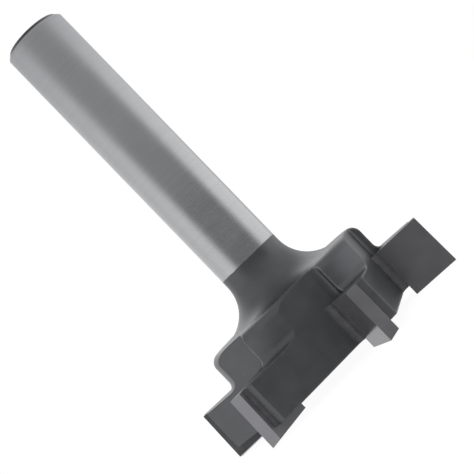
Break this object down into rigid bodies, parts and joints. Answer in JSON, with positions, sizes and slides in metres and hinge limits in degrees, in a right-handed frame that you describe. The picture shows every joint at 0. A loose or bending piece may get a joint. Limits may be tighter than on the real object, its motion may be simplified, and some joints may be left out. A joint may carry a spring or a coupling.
{
  "type": "surfacing router bit",
  "caption": "Round-shank surfacing router bit with a wide flat head, milled flutes and brazed carbide tips.",
  "frame": {"origin": "the point on the tool axis level with the lowest corners of the carbide tips, on which the bit stands", "axes": "+Z along the tool axis, from the cutting edges to the shank's end; +X from the axis to the first tip's cutting corner, in that tip's rake plane; the first tip's rake face looks along -Y, so the bit cuts clockwise seen from the shank"},
  "size_m": [0.054, 0.0486, 0.0821],
  "materials": {
    "tool_steel": "alloy steel: satin-ground bright shank, and a dark charcoal coating on the neck, hub and wings",
    "carbide": "tungsten carbide, rake faces polished and reliefs finely ground",
    "silver_solder": "silver solder, dulled and darkened by the heat and the coating"
  },
  "bodies": {
    "root": {"tool_body": "tool_steel", "carbide_tip_1": "carbide", "braze_joint_1": "silver_solder", "carbide_tip_2": "carbide", "braze_joint_2": "silver_solder", "carbide_tip_3": "carbide", "braze_joint_3": "silver_solder", "carbide_tip_4": "carbide", "braze_joint_4": "silver_solder", "carbide_tip_5": "carbide", "braze_joint_5": "silver_solder", "carbide_tip_6": "carbide", "braze_joint_6": "silver_solder"}
  },
  "joints": []
}
